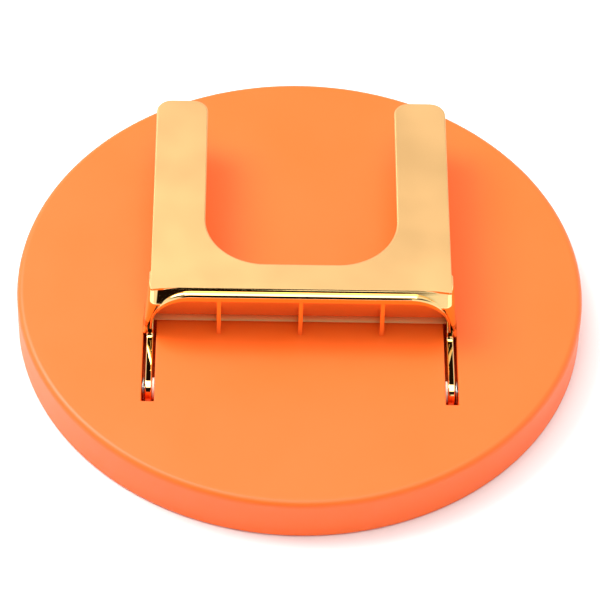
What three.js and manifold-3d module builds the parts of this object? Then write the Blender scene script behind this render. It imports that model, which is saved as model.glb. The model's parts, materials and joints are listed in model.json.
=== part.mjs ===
// Round table mirror with a fold-out stand, lying on its face with the stand folded flat.
// Millimetres, +Z up out of the mirror's back. The origin is the centre of the rim's front face, which the
// mirror rests on. The stand turns about an axis along X through two hinge boxes moulded in the back.
import * as THREE from 'three';
import { mergeVertices } from 'three/addons/utils/BufferGeometryUtils.js';
import Module from 'manifold-3d';

const wasm = await Module();
wasm.setup();

// ---- driving dimensions ----
const DISC_RADIUS = 100;
const DISC_THICKNESS = 17.5;
const BACK_WALL = 2.4;
const RIM_WALL = 2.8;
const BACK_EDGE_RADIUS = 2;
const FRONT_EDGE_RADIUS = 1.2;
const FIT_GAP = 0.1; // between pieces that sit on each other

const GLASS_THICKNESS = 2.5;
const GLASS_RECESS = 0.6;
const GLASS_CLEARANCE = 0.4;
const GLASS_CHAMFER = 0.5;
const FOAM_THICKNESS = 0.8;
const FOAM_RING_RADII = [88, 95];
const FOAM_CENTRE_RADII = [14, 34];
const TRAY_THICKNESS = 1.8;
const LEDGE_WIDTH = 3;

const STAND_HEIGHT = 21.9; // top face above the disc's back
const STAND_HALF_WIDTH = 52;
const STAND_FRONT_Y = -25.1;
const PRONG_END_Y = 68.5;
const PRONG_TIP_RADIUS = 5.5;
const CUTOUT_HALF_WIDTH = 33.6;
const CUTOUT_Y = -10.9;
const CUTOUT_RADIUS = 21;
const PLATE_THICKNESS = 3;
const RAIL_HEIGHT = 4.8;
const RAIL_DEPTH = 3;
const RAIL_FILLET = 2.2;
const ARCH_RADIUS = 12.5;
const ARCH_HEAD_EASE = 0.9; // the arch is this much wider at its head than the legs' thickness alone gives
const REAR_ARCH_RADIUS = 6;
const LEG_TOP_DROP = 0.5; // the legs' blocks stop this far below the top face
const LEG_SETBACK = 1; // and start this far behind the rail's front
const LEG_FOOT_HALF_WIDTH = 54.8;
const LEG_THICKNESS = 2.4;
const LEG_FOOT_THICKNESS = 3.3;
const LEG_REAR_Y = -14.8;
const GUSSET_REAR_Y = 8;
const GUSSET_THICKNESS = 2;
const GUSSET_INSET = 0.3;
const GUSSET_RISE = 6; // its lower corner above the foot
const WALL_FRONT_Y = -17.7;
const WALL_THICKNESS = 2;
const WALL_INSET = 1; // its ends are this far inside the stand's top width
const BAND_PROUD = 1.15; // the sloping band along the wall's foot
const BAND_TOE = 0.3;
const BAND_HEIGHT = 2.3;
const FOOT_GAP = 0.3; // the ribs and the wall stop just above the disc's back
const RIB_PITCH = 28.4;
const RIB_THICKNESS = 1.6;
const RIB_SETBACK = 0.2; // behind the rail's front

const LUG_INNER_X = 51.2;
const LUG_THICKNESS = 2.4;
const LUG_RADIUS = 4.6;
const LUG_TOP_BELOW_BACK = 0.2;
const LUG_SLOT_GAP = 1.3; // between the lug's rear edge and the slot's far end
const LUG_HEEL_BELOW_BACK = 2.4;
const LUG_RISE = 4; // how far the lug runs up inside the leg
const LUG_CORNER_RADIUS = 1.5;
const LUG_TAIL_ANGLE = 0.25; // where the round end runs out into the sloping lower edge, past straight down
const PIVOT_Y = -45.8;
const PIN_RADIUS = 1.5;
const PIN_CLEARANCE = 0.08;
const PIN_CHAMFER = 0.3;
const PIN_END_GAP = 0.2;

const SLOT_INNER_X = 50.2;
const SLOT_OUTER_X = 54.7;
const SLOT_NEAR_Y = -55.4;
const SLOT_FAR_Y = -17.5;
const BOX_WALL = 2;

const WASHER_RADIUS = 3.8;
const WASHER_BORE_RADIUS = 1.7;
const WASHER_THICKNESS = 0.8;
const SPRING_WASHER_THICKNESS = 0.5;
const SPRING_WASHER_WAVE = 0.12;

const RETAINER_THICKNESS = 1.6;
const RETAINER_HALF_WIDTH = 4.2;
const RETAINER_EAR = 9;
const RETAINER_SCREW_INSET = 4.2;
const POST_INSET = 0.2; // the posts are this much thinner than the box walls on each side
const BOSS_RADIUS = 3.4;
const PILOT_RADIUS = 1.4;

const TRAY_SCREWS = 6;
const TRAY_SCREW_CIRCLE = 84;
const TRAY_SCREW_PHASE = Math.PI / 6;
const SHELL_RIBS = 6;
const SHELL_RIB_THICKNESS = 1.2;
const SHELL_RIB_HEIGHT = 3;
const SHELL_RIB_START = 16;
const SHELL_RIB_END = 90;

const SCREW_HEAD_RADIUS = 2.3;
const SCREW_HEAD_DEPTH = 1.3;
const SCREW_SHANK_RADIUS = 1.05;
const SCREW_THREAD_RADIUS = 1.3;
const SCREW_PITCH = 1;
const SCREW_LENGTH = 6.6;
const SCREW_HEAD_RIM = 0.15;
const SCREW_NECK = 0.3;
const THREAD_CREST_SHARE = 0.35; // of the pitch
const THREAD_END_SHARE = 0.7;
const RECESS_WIDTH = 0.6;
const RECESS_DEPTH = 0.8;
const RECESS_REACH = 1.4;
const PILOT_ROOF = 0.5; // left solid above a pilot hole

const ROUND_STEPS = 96; // around the disc
const FOAM_STEPS = 60;
const SMALL_STEPS = 20; // around pins, washers and bosses
const SCREW_STEPS = 12;
const CORNER_STEPS = 12; // on half of a flat outline's circle
const COARSE_STEPS = 8;
const FINE_STEPS = 10;
const EDGE_STEPS = 5;
const OVERLAP = 0.5; // joined bodies run this far into each other
const PAST = 1; // cutters run this far past what they cut

// ---- derived heights and places ----
const BACK_Z = DISC_THICKNESS;
const BACK_INNER_Z = BACK_Z - BACK_WALL;
const BORE_RADIUS = DISC_RADIUS - RIM_WALL;
const GLASS_RADIUS = BORE_RADIUS - GLASS_CLEARANCE;
const GLASS_BACK_Z = GLASS_RECESS + GLASS_THICKNESS;
const FOAM_Z = GLASS_BACK_Z + FIT_GAP;
const TRAY_Z = FOAM_Z + FOAM_THICKNESS + FIT_GAP;
const TRAY_BACK_Z = TRAY_Z + TRAY_THICKNESS;
const LEDGE_Z = TRAY_BACK_Z + FIT_GAP;
const RETAINER_Z = LEDGE_Z + 2 * FIT_GAP;
const BOX_Z = RETAINER_Z + RETAINER_THICKNESS + FIT_GAP;
const BOX_ROOT_Z = BACK_INNER_Z + BACK_WALL / 2;
const STAND_TOP_Z = BACK_Z + STAND_HEIGHT;
const PLATE_ROOT_Z = STAND_TOP_Z - PLATE_THICKNESS + OVERLAP;
const FOOT_Z = BACK_Z + FOOT_GAP;
const PIVOT_Z = BACK_Z - LUG_TOP_BELOW_BACK - LUG_RADIUS;
const LUG_OUTER_X = LUG_INNER_X + LUG_THICKNESS;
const SLOT_X = (SLOT_INNER_X + SLOT_OUTER_X) / 2;
const RETAINER_NEAR_Y = SLOT_NEAR_Y - BOX_WALL - RETAINER_EAR;
const RETAINER_FAR_Y = SLOT_FAR_Y + BOX_WALL + RETAINER_EAR;
const RETAINER_SCREW_YS = [RETAINER_NEAR_Y + RETAINER_SCREW_INSET, RETAINER_FAR_Y - RETAINER_SCREW_INSET];

// ---- finishes, as colour, roughness and metalness ----
const finish = (color, roughness, metalness) =>
  new THREE.MeshStandardMaterial({ color, roughness, metalness });
const orangeAbs = () => finish(0xff8a3c, 0.45, 0);
const goldPlating = () => finish(0xe9bf72, 0.3, 1);
const mirrorSilver = () => finish(0xdfe5e6, 0.05, 1);
const steel = () => finish(0xb4b6b8, 0.35, 1);
const nylon = () => finish(0xf0ece2, 0.5, 0);
const foam = () => finish(0xf4f3ee, 0.9, 0);

// ---- solids ----
function solid(geometry) {
  const bare = geometry.clone();
  bare.deleteAttribute('normal');
  bare.deleteAttribute('uv');
  const merged = mergeVertices(bare, 1e-4);
  const mesh = new wasm.Mesh({
    numProp: 3,
    vertProperties: merged.attributes.position.array,
    triVerts: new Uint32Array(merged.index.array),
  });
  return new wasm.Manifold(mesh);
}

function geometryOf(body) {
  const mesh = body.getMesh();
  const geometry = new THREE.BufferGeometry();
  geometry.setAttribute('position', new THREE.BufferAttribute(mesh.vertProperties, 3));
  geometry.setIndex(new THREE.BufferAttribute(mesh.triVerts, 1));
  return geometry;
}

function named(name, body, material) {
  const mesh = new THREE.Mesh(geometryOf(body), material);
  mesh.name = name;
  return mesh;
}

// The range between two distances from the middle plane, on the left (-1) or the right (1).
const sideRange = (side, inner, outer) => (side > 0 ? [inner, outer] : [-outer, -inner]);

const join = (bodies) => bodies.reduce((whole, body) => whole.add(body));
const cutAll = (body, tools) => tools.reduce((rest, tool) => rest.subtract(tool), body);

function block(low, high) {
  const size = high.map((value, axis) => value - low[axis]);
  const geometry = new THREE.BoxGeometry(...size);
  geometry.translate(...low.map((value, axis) => value + size[axis] / 2));
  return solid(geometry);
}

// A flat outline in X and Y, raised from one height to another.
function prismZ(shape, low, high, curveSegments = CORNER_STEPS) {
  const depth = high - low;
  const geometry = new THREE.ExtrudeGeometry(shape, { depth, bevelEnabled: false, curveSegments });
  geometry.translate(0, 0, low);
  return solid(geometry);
}

// An outline in X and Z, swept along Y.
function prismY(shape, low, high, curveSegments = CORNER_STEPS) {
  const depth = high - low;
  const geometry = new THREE.ExtrudeGeometry(shape, { depth, bevelEnabled: false, curveSegments });
  geometry.rotateX(Math.PI / 2);
  geometry.translate(0, high, 0);
  return solid(geometry);
}

// An outline in Y and Z, swept along X.
function prismX(shape, low, high, curveSegments = CORNER_STEPS) {
  const depth = high - low;
  const geometry = new THREE.ExtrudeGeometry(shape, { depth, bevelEnabled: false, curveSegments });
  const yzx = new THREE.Matrix4().makeBasis(
    new THREE.Vector3(0, 1, 0),
    new THREE.Vector3(0, 0, 1),
    new THREE.Vector3(1, 0, 0),
  );
  geometry.applyMatrix4(yzx);
  geometry.translate(low, 0, 0);
  return solid(geometry);
}

// A profile of [radius, height] points turned about the Z axis, listed with the solid on its left.
function turned(points, steps) {
  const profile = points.map(([radius, height]) => new THREE.Vector2(radius, height));
  const geometry = new THREE.LatheGeometry(profile, steps);
  geometry.rotateX(Math.PI / 2);
  return solid(geometry);
}

function cylinderZ(x, y, radius, low, high, steps = SMALL_STEPS) {
  const geometry = new THREE.CylinderGeometry(radius, radius, high - low, steps);
  geometry.rotateX(Math.PI / 2);
  geometry.translate(x, y, (low + high) / 2);
  return solid(geometry);
}

function cylinderX(y, z, radius, low, high, steps = SMALL_STEPS) {
  const geometry = new THREE.CylinderGeometry(radius, radius, high - low, steps);
  geometry.rotateZ(Math.PI / 2);
  geometry.translate((low + high) / 2, y, z);
  return solid(geometry);
}

// Points on a rounded edge of the disc's outside, between two angles, for turned profiles.
function roundedRim(radius, centreZ, from, to) {
  return Array.from({ length: EDGE_STEPS + 1 }, (_, i) => {
    const angle = from + ((to - from) * i) / EDGE_STEPS;
    return [DISC_RADIUS - radius + radius * Math.cos(angle), centreZ + radius * Math.sin(angle)];
  });
}

const onCircle = (radius, count, phase) =>
  Array.from({ length: count }, (_, i) => {
    const angle = phase + (2 * Math.PI * i) / count;
    return [radius * Math.cos(angle), radius * Math.sin(angle)];
  });

const trayScrewPlaces = onCircle(TRAY_SCREW_CIRCLE, TRAY_SCREWS, TRAY_SCREW_PHASE);

// ---- rear shell: cup with rounded edges, ledge for the tray, hinge boxes, bosses and ribs ----
function shellCup() {
  const ledgeRadius = BORE_RADIUS - LEDGE_WIDTH;
  return turned(
    [
      [0, BACK_INNER_Z],
      [ledgeRadius, BACK_INNER_Z],
      [ledgeRadius, LEDGE_Z],
      [BORE_RADIUS, LEDGE_Z],
      [BORE_RADIUS, 0],
      ...roundedRim(FRONT_EDGE_RADIUS, FRONT_EDGE_RADIUS, -Math.PI / 2, 0),
      ...roundedRim(BACK_EDGE_RADIUS, BACK_Z - BACK_EDGE_RADIUS, 0, Math.PI / 2),
      [0, BACK_Z],
    ],
    ROUND_STEPS,
  );
}

function hingeBox(side) {
  const xs = sideRange(side, SLOT_INNER_X - BOX_WALL, SLOT_OUTER_X + BOX_WALL);
  const walls = block(
    [xs[0], SLOT_NEAR_Y - BOX_WALL, BOX_Z],
    [xs[1], SLOT_FAR_Y + BOX_WALL, BOX_ROOT_Z],
  );
  const bosses = RETAINER_SCREW_YS.map((y) =>
    cylinderZ(side * SLOT_X, y, BOSS_RADIUS, BOX_Z, BOX_ROOT_Z),
  );
  return join([walls, ...bosses]);
}

function hingeSlot(side) {
  const xs = sideRange(side, SLOT_INNER_X, SLOT_OUTER_X);
  return block([xs[0], SLOT_NEAR_Y, BOX_Z - PAST], [xs[1], SLOT_FAR_Y, BACK_Z + PAST]);
}

// The pin drops into these from the open side of the box, and the retainer's posts close them.
function pinNotches(side) {
  const reach = sideRange(side, SLOT_INNER_X - BOX_WALL - PAST, SLOT_OUTER_X + BOX_WALL + PAST);
  const radius = PIN_RADIUS + PIN_CLEARANCE;
  return join([
    cylinderX(PIVOT_Y, PIVOT_Z, radius, reach[0], reach[1]),
    block([reach[0], PIVOT_Y - radius, BOX_Z - PAST], [reach[1], PIVOT_Y + radius, PIVOT_Z]),
  ]);
}

function shellRib(angle) {
  const low = BACK_INNER_Z - SHELL_RIB_HEIGHT;
  const length = SHELL_RIB_END - SHELL_RIB_START;
  const geometry = new THREE.BoxGeometry(length, SHELL_RIB_THICKNESS, BOX_ROOT_Z - low);
  geometry.translate((SHELL_RIB_END + SHELL_RIB_START) / 2, 0, (low + BOX_ROOT_Z) / 2);
  geometry.rotateZ(angle);
  return solid(geometry);
}

function rearShell() {
  const ribs = Array.from({ length: SHELL_RIBS }, (_, i) => shellRib((2 * Math.PI * i) / SHELL_RIBS));
  const bosses = trayScrewPlaces.map(([x, y]) => cylinderZ(x, y, BOSS_RADIUS, LEDGE_Z, BOX_ROOT_Z));
  const body = join([shellCup(), ...ribs, ...bosses, hingeBox(-1), hingeBox(1)]);
  const pilotRoof = BACK_INNER_Z - PILOT_ROOF;
  const pilots = [
    ...trayScrewPlaces.map(([x, y]) => cylinderZ(x, y, PILOT_RADIUS, LEDGE_Z - PAST, pilotRoof)),
    ...[-1, 1].flatMap((side) =>
      RETAINER_SCREW_YS.map((y) => cylinderZ(side * SLOT_X, y, PILOT_RADIUS, BOX_Z - PAST, pilotRoof)),
    ),
  ];
  return cutAll(body, [...pilots, hingeSlot(-1), hingeSlot(1), pinNotches(-1), pinNotches(1)]);
}

// ---- glass, foam and tray ----
function mirrorGlass() {
  return turned(
    [
      [0, GLASS_RECESS],
      [GLASS_RADIUS - GLASS_CHAMFER, GLASS_RECESS],
      [GLASS_RADIUS, GLASS_RECESS + GLASS_CHAMFER],
      [GLASS_RADIUS, GLASS_BACK_Z],
      [0, GLASS_BACK_Z],
    ],
    ROUND_STEPS,
  );
}

function foamRing([inner, outer]) {
  const high = FOAM_Z + FOAM_THICKNESS;
  return turned(
    [
      [inner, FOAM_Z],
      [outer, FOAM_Z],
      [outer, high],
      [inner, high],
      [inner, FOAM_Z],
    ],
    FOAM_STEPS,
  );
}

// The countersink that a flat screw head sits in, opening downwards.
function countersink(x, y, low) {
  const clearance = 3 * FIT_GAP;
  const geometry = new THREE.CylinderGeometry(
    SCREW_SHANK_RADIUS + clearance,
    SCREW_HEAD_RADIUS + clearance,
    SCREW_HEAD_DEPTH,
    SMALL_STEPS,
  );
  geometry.rotateX(Math.PI / 2);
  geometry.translate(x, y, low + SCREW_HEAD_DEPTH / 2);
  const bore = cylinderZ(x, y, PILOT_RADIUS, low - PAST, low + SCREW_HEAD_DEPTH + PAST);
  return solid(geometry).add(bore);
}

function mirrorTray() {
  const plate = cylinderZ(0, 0, GLASS_RADIUS, TRAY_Z, TRAY_BACK_Z, ROUND_STEPS);
  return cutAll(plate, trayScrewPlaces.map(([x, y]) => countersink(x, y, TRAY_Z)));
}

// ---- flat-head screw, point up, its head's flat face at z = 0 ----
function screw() {
  const points = [
    [0, 0],
    [SCREW_HEAD_RADIUS, 0],
    [SCREW_HEAD_RADIUS, SCREW_HEAD_RIM],
    [SCREW_SHANK_RADIUS, SCREW_HEAD_DEPTH],
  ];
  for (let z = SCREW_HEAD_DEPTH + SCREW_NECK; z < SCREW_LENGTH - SCREW_PITCH; z += SCREW_PITCH) {
    points.push([SCREW_SHANK_RADIUS, z]);
    points.push([SCREW_THREAD_RADIUS, z + SCREW_PITCH * THREAD_CREST_SHARE]);
    points.push([SCREW_SHANK_RADIUS, z + SCREW_PITCH * THREAD_END_SHARE]);
  }
  points.push([0, SCREW_LENGTH]);
  const half = RECESS_WIDTH / 2;
  return cutAll(turned(points, SCREW_STEPS), [
    block([-RECESS_REACH, -half, -PAST], [RECESS_REACH, half, RECESS_DEPTH]),
    block([-half, -RECESS_REACH, -PAST], [half, RECESS_REACH, RECESS_DEPTH]),
  ]);
}

// ---- hinge pieces ----
function pinRetainer(side) {
  const centre = side * SLOT_X;
  const radius = RETAINER_HALF_WIDTH;
  const outline = new THREE.Shape();
  outline.absarc(centre, RETAINER_FAR_Y - radius, radius, 0, Math.PI);
  outline.absarc(centre, RETAINER_NEAR_Y + radius, radius, Math.PI, 2 * Math.PI);
  outline.closePath();
  const plate = prismZ(outline, RETAINER_Z, RETAINER_Z + RETAINER_THICKNESS);
  const postHalf = BOX_WALL / 2 - POST_INSET;
  const postTop = PIVOT_Z - PIN_RADIUS - FIT_GAP;
  const posts = [SLOT_INNER_X - BOX_WALL / 2, SLOT_OUTER_X + BOX_WALL / 2].map((x) =>
    block(
      [side * x - postHalf, PIVOT_Y - PIN_RADIUS, RETAINER_Z + OVERLAP],
      [side * x + postHalf, PIVOT_Y + PIN_RADIUS, postTop],
    ),
  );
  return cutAll(join([plate, ...posts]), RETAINER_SCREW_YS.map((y) => countersink(centre, y, RETAINER_Z)));
}

// Its ends are chamfered so that it drops into the notches.
function hingePin() {
  const half = (SLOT_OUTER_X - SLOT_INNER_X) / 2 + BOX_WALL - PIN_END_GAP;
  return turned(
    [
      [0, -half],
      [PIN_RADIUS - PIN_CHAMFER, -half],
      [PIN_RADIUS, -half + PIN_CHAMFER],
      [PIN_RADIUS, half - PIN_CHAMFER],
      [PIN_RADIUS - PIN_CHAMFER, half],
      [0, half],
    ],
    SMALL_STEPS,
  );
}

function washer(thickness) {
  return turned(
    [
      [WASHER_BORE_RADIUS, -thickness / 2],
      [WASHER_RADIUS, -thickness / 2],
      [WASHER_RADIUS, thickness / 2],
      [WASHER_BORE_RADIUS, thickness / 2],
      [WASHER_BORE_RADIUS, -thickness / 2],
    ],
    SMALL_STEPS,
  );
}

// The same ring bent into three waves round its axis.
function springWasher() {
  const geometry = geometryOf(washer(SPRING_WASHER_THICKNESS));
  const position = geometry.attributes.position;
  for (let i = 0; i < position.count; i += 1) {
    const angle = Math.atan2(position.getY(i), position.getX(i));
    position.setZ(i, position.getZ(i) + SPRING_WASHER_WAVE * Math.sin(3 * angle));
  }
  return solid(geometry);
}

// ---- stand, in the folded position ----
function topPlate() {
  const w = STAND_HALF_WIDTH;
  const c = CUTOUT_HALF_WIDTH;
  const tip = PRONG_TIP_RADIUS;
  const back = STAND_FRONT_Y + RAIL_DEPTH / 2;
  const end = PRONG_END_Y;
  const deg = Math.PI / 2;
  const outline = new THREE.Shape();
  outline.moveTo(-w, back);
  outline.lineTo(w, back);
  outline.absarc(w - tip, end - tip, tip, 0, deg);
  outline.absarc(c + tip, end - tip, tip, deg, 2 * deg);
  outline.absarc(c - CUTOUT_RADIUS, CUTOUT_Y + CUTOUT_RADIUS, CUTOUT_RADIUS, 0, -deg, true);
  outline.absarc(-c + CUTOUT_RADIUS, CUTOUT_Y + CUTOUT_RADIUS, CUTOUT_RADIUS, -deg, -2 * deg, true);
  outline.absarc(-c - tip, end - tip, tip, 0, deg);
  outline.absarc(-w + tip, end - tip, tip, deg, 2 * deg);
  outline.closePath();
  return prismZ(outline, STAND_TOP_Z - PLATE_THICKNESS, STAND_TOP_Z, COARSE_STEPS);
}

// Outer outline of the front view: full width at the top, legs flaring to the foot.
function frontOutline(topZ) {
  const outline = new THREE.Shape();
  outline.moveTo(-LEG_FOOT_HALF_WIDTH, FOOT_Z);
  outline.lineTo(LEG_FOOT_HALF_WIDTH, FOOT_Z);
  outline.lineTo(STAND_HALF_WIDTH, topZ);
  outline.lineTo(-STAND_HALF_WIDTH, topZ);
  outline.closePath();
  return outline;
}

// The opening between the legs, with round upper corners of the given radius.
function archOpening(ceilingZ, radius) {
  const foot = LEG_FOOT_HALF_WIDTH - LEG_FOOT_THICKNESS;
  const head = STAND_HALF_WIDTH - LEG_THICKNESS + ARCH_HEAD_EASE;
  const outline = new THREE.Shape();
  outline.moveTo(-foot, FOOT_Z - PAST);
  outline.lineTo(foot, FOOT_Z - PAST);
  outline.absarc(head - radius, ceilingZ - radius, radius, 0, Math.PI / 2);
  outline.absarc(-head + radius, ceilingZ - radius, radius, Math.PI / 2, Math.PI);
  outline.closePath();
  return outline;
}

// Arched front rail with its rounded top edge, and the deeper legs behind it.
function portal() {
  const railBack = STAND_FRONT_Y + RAIL_DEPTH;
  const rail = prismY(frontOutline(STAND_TOP_Z), STAND_FRONT_Y, railBack).subtract(
    prismY(archOpening(STAND_TOP_Z - RAIL_HEIGHT, ARCH_RADIUS), STAND_FRONT_Y - PAST, railBack + PAST),
  );
  const legFront = STAND_FRONT_Y + LEG_SETBACK;
  const legs = prismY(frontOutline(STAND_TOP_Z - LEG_TOP_DROP), legFront, LEG_REAR_Y).subtract(
    prismY(archOpening(STAND_TOP_Z - PLATE_THICKNESS, REAR_ARCH_RADIUS), legFront - PAST, LEG_REAR_Y + PAST),
  );
  return rail.add(legs);
}

// What the round top edge of the rail leaves of a square one.
function edgeWaste() {
  const r = RAIL_FILLET;
  const y = STAND_FRONT_Y;
  const z = STAND_TOP_Z;
  const waste = new THREE.Shape();
  waste.moveTo(y - PAST, z + PAST);
  waste.lineTo(y - PAST, z - r);
  waste.lineTo(y, z - r);
  waste.absarc(y + r, z - r, r, Math.PI, Math.PI / 2, true);
  waste.lineTo(y + r, z + PAST);
  waste.closePath();
  return prismX(waste, -LEG_FOOT_HALF_WIDTH - PAST, LEG_FOOT_HALF_WIDTH + PAST, EDGE_STEPS);
}

// A gusset behind each leg, under the prong.
function gusset(side) {
  const outer = STAND_HALF_WIDTH - GUSSET_INSET;
  const outline = new THREE.Shape();
  outline.moveTo(LEG_REAR_Y - OVERLAP, FOOT_Z + GUSSET_RISE);
  outline.lineTo(GUSSET_REAR_Y, PLATE_ROOT_Z);
  outline.lineTo(LEG_REAR_Y - OVERLAP, PLATE_ROOT_Z);
  outline.closePath();
  return prismX(outline, ...sideRange(side, outer - GUSSET_THICKNESS, outer));
}

// Hinge lug: round end on the pivot, straight top edge level with the disc's back, rising into the leg.
function lug(side) {
  const top = PIVOT_Z + LUG_RADIUS;
  const rear = SLOT_FAR_Y - LUG_SLOT_GAP;
  const corner = LUG_CORNER_RADIUS;
  const outline = new THREE.Shape();
  outline.moveTo(PIVOT_Y, top);
  outline.absarc(PIVOT_Y, PIVOT_Z, LUG_RADIUS, Math.PI / 2, (Math.PI * 3) / 2 + LUG_TAIL_ANGLE);
  outline.lineTo(rear, BACK_Z - LUG_HEEL_BELOW_BACK);
  outline.lineTo(rear, FOOT_Z + LUG_RISE);
  outline.lineTo(STAND_FRONT_Y, FOOT_Z + LUG_RISE);
  outline.absarc(STAND_FRONT_Y - corner, top + corner, corner, 0, -Math.PI / 2, true);
  outline.closePath();
  return prismX(outline, ...sideRange(side, LUG_INNER_X, LUG_OUTER_X), FINE_STEPS);
}

// The wall across the stand behind the rail, with the band that slopes out along its foot.
function crossWall() {
  const half = STAND_HALF_WIDTH - WALL_INSET;
  const back = WALL_FRONT_Y + WALL_THICKNESS;
  const wall = block([-half, WALL_FRONT_Y, FOOT_Z], [half, back, PLATE_ROOT_Z]);
  const band = new THREE.Shape();
  band.moveTo(WALL_FRONT_Y + OVERLAP, FOOT_Z);
  band.lineTo(WALL_FRONT_Y + OVERLAP, FOOT_Z + BAND_HEIGHT);
  band.lineTo(WALL_FRONT_Y, FOOT_Z + BAND_HEIGHT);
  band.lineTo(WALL_FRONT_Y - BAND_PROUD, FOOT_Z + BAND_TOE);
  band.lineTo(WALL_FRONT_Y - BAND_PROUD, FOOT_Z);
  band.closePath();
  return wall.add(prismX(band, -half, half));
}

function rib(x) {
  const half = RIB_THICKNESS / 2;
  const back = WALL_FRONT_Y + OVERLAP;
  return block([x - half, STAND_FRONT_Y + RIB_SETBACK, FOOT_Z], [x + half, back, PLATE_ROOT_Z]);
}

function stand() {
  const ribs = [-1, 0, 1].map((step) => rib(step * RIB_PITCH));
  const bores = [-1, 1].map((side) => {
    const xs = sideRange(side, LUG_INNER_X - PAST, LUG_OUTER_X + PAST);
    return cylinderX(PIVOT_Y, PIVOT_Z, PIN_RADIUS + PIN_CLEARANCE, ...xs);
  });
  const whole = join([topPlate(), portal(), gusset(-1), gusset(1), crossWall(), ...ribs, lug(-1), lug(1)]);
  return cutAll(whole, [edgeWaste(), ...bores]);
}

// ---- assembly ----
const mirror = new THREE.Group();

mirror.add(named('rear_shell', rearShell(), orangeAbs()));
mirror.add(named('mirror_tray', mirrorTray(), orangeAbs()));
mirror.add(named('mirror_glass', mirrorGlass(), mirrorSilver()));
mirror.add(named('foam_tape_ring', foamRing(FOAM_RING_RADII), foam()));
mirror.add(named('foam_tape_centre', foamRing(FOAM_CENTRE_RADII), foam()));

trayScrewPlaces.forEach(([x, y], i) => {
  const piece = named(`tray_screw_${i + 1}`, screw(), steel());
  piece.position.set(x, y, TRAY_Z + FIT_GAP / 2);
  mirror.add(piece);
});

for (const [side, word] of [
  [-1, 'left'],
  [1, 'right'],
]) {
  mirror.add(named(`pin_retainer_${word}`, pinRetainer(side), orangeAbs()));
  RETAINER_SCREW_YS.forEach((y, i) => {
    const piece = named(`retainer_screw_${word}_${i + 1}`, screw(), steel());
    piece.position.set(side * SLOT_X, y, RETAINER_Z + FIT_GAP / 2);
    mirror.add(piece);
  });

  const hinge = new THREE.Group();
  hinge.position.set(side * SLOT_X, PIVOT_Y, PIVOT_Z);
  const pin = named(`hinge_pin_${word}`, hingePin(), steel());
  pin.rotation.y = Math.PI / 2;
  const friction = named(`friction_washer_${word}`, washer(WASHER_THICKNESS), nylon());
  friction.position.x = side * ((SLOT_INNER_X + LUG_INNER_X) / 2 - SLOT_X);
  friction.rotation.y = Math.PI / 2;
  const spring = named(`spring_washer_${word}`, springWasher(), steel());
  spring.position.x = side * ((SLOT_OUTER_X + LUG_OUTER_X) / 2 - SLOT_X);
  spring.rotation.y = Math.PI / 2;
  hinge.add(pin, friction, spring);
  mirror.add(hinge);
}

mirror.add(named('stand', stand(), goldPlating()));

export default mirror;
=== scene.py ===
# Round table mirror lying on its glass, with its gold U-shaped stand folded flat on the back.
# Metres, +Z up out of the mirror's back, +Y towards the tips of the stand's prongs.
import json
import math

import bmesh
import bpy
from mathutils import Matrix, Vector


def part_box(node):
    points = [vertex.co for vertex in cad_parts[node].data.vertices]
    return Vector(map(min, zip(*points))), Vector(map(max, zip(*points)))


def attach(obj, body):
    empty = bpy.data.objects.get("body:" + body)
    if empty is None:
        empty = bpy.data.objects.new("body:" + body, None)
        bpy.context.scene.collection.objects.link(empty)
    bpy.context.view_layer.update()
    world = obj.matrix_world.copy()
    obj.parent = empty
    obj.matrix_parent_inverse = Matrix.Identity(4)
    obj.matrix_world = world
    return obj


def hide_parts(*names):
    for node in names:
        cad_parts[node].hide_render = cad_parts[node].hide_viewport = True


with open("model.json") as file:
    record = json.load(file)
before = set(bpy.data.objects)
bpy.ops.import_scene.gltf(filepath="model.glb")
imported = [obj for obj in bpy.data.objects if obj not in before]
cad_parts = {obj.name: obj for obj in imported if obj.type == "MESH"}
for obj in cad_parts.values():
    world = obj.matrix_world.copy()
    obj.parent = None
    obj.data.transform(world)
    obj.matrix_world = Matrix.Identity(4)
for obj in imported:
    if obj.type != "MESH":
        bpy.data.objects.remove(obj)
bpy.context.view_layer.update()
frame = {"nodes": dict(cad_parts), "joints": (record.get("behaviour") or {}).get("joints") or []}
MM = 0.001

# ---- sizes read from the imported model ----
shell_low, shell_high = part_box("rear_shell")
stand_low, stand_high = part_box("stand")
glass_low, glass_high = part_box("mirror_glass")
tray_low, tray_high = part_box("mirror_tray")
retainer_low, retainer_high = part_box("pin_retainer_right")
pin_low, pin_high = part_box("hinge_pin_right")
friction_low, friction_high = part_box("friction_washer_right")
spring_low, spring_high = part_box("spring_washer_right")
pivot = Vector(frame["joints"][0]["pos_m"])

DISC_RADIUS = shell_high.x
BACK_Z = shell_high.z
STAND_TOP_Z = stand_high.z
PRONG_END_Y = stand_high.y
FOOT_HALF_WIDTH = stand_high.x
GLASS_RADIUS = glass_high.x

# ---- shell moulding ----
RIM_WALL = 2.8 * MM
BACK_WALL = 2.4 * MM
BACK_EDGE_RADIUS = 2.4 * MM
FRONT_EDGE_RADIUS = 1.2 * MM
LEDGE_WIDTH = 3 * MM
LEDGE_Z = tray_high.z + 0.1 * MM
BOX_Z = retainer_low.z + 1.7 * MM
BOX_WALL = 2 * MM
SLOT_INNER_X = 50.2 * MM
SLOT_OUTER_X = 54.7 * MM
SLOT_NEAR_Y = -55.4 * MM
SLOT_FAR_Y = -17.5 * MM
SLOT_EDGE_RADIUS = 0.3 * MM
PIN_CLEARANCE = 0.08 * MM
PIECE_EDGE = 0.3 * MM
BOSS_RADIUS = 3.4 * MM
PILOT_RADIUS = 1.4 * MM
RIB_START = 16 * MM
RIB_END = 90 * MM
RIB_WALL = 1.2 * MM
RIB_DEPTH = 3 * MM
RIB_COUNT = 6
TRAY_SCREW_COUNT = 6
TRAY_SCREW_CIRCLE = 84 * MM
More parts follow.
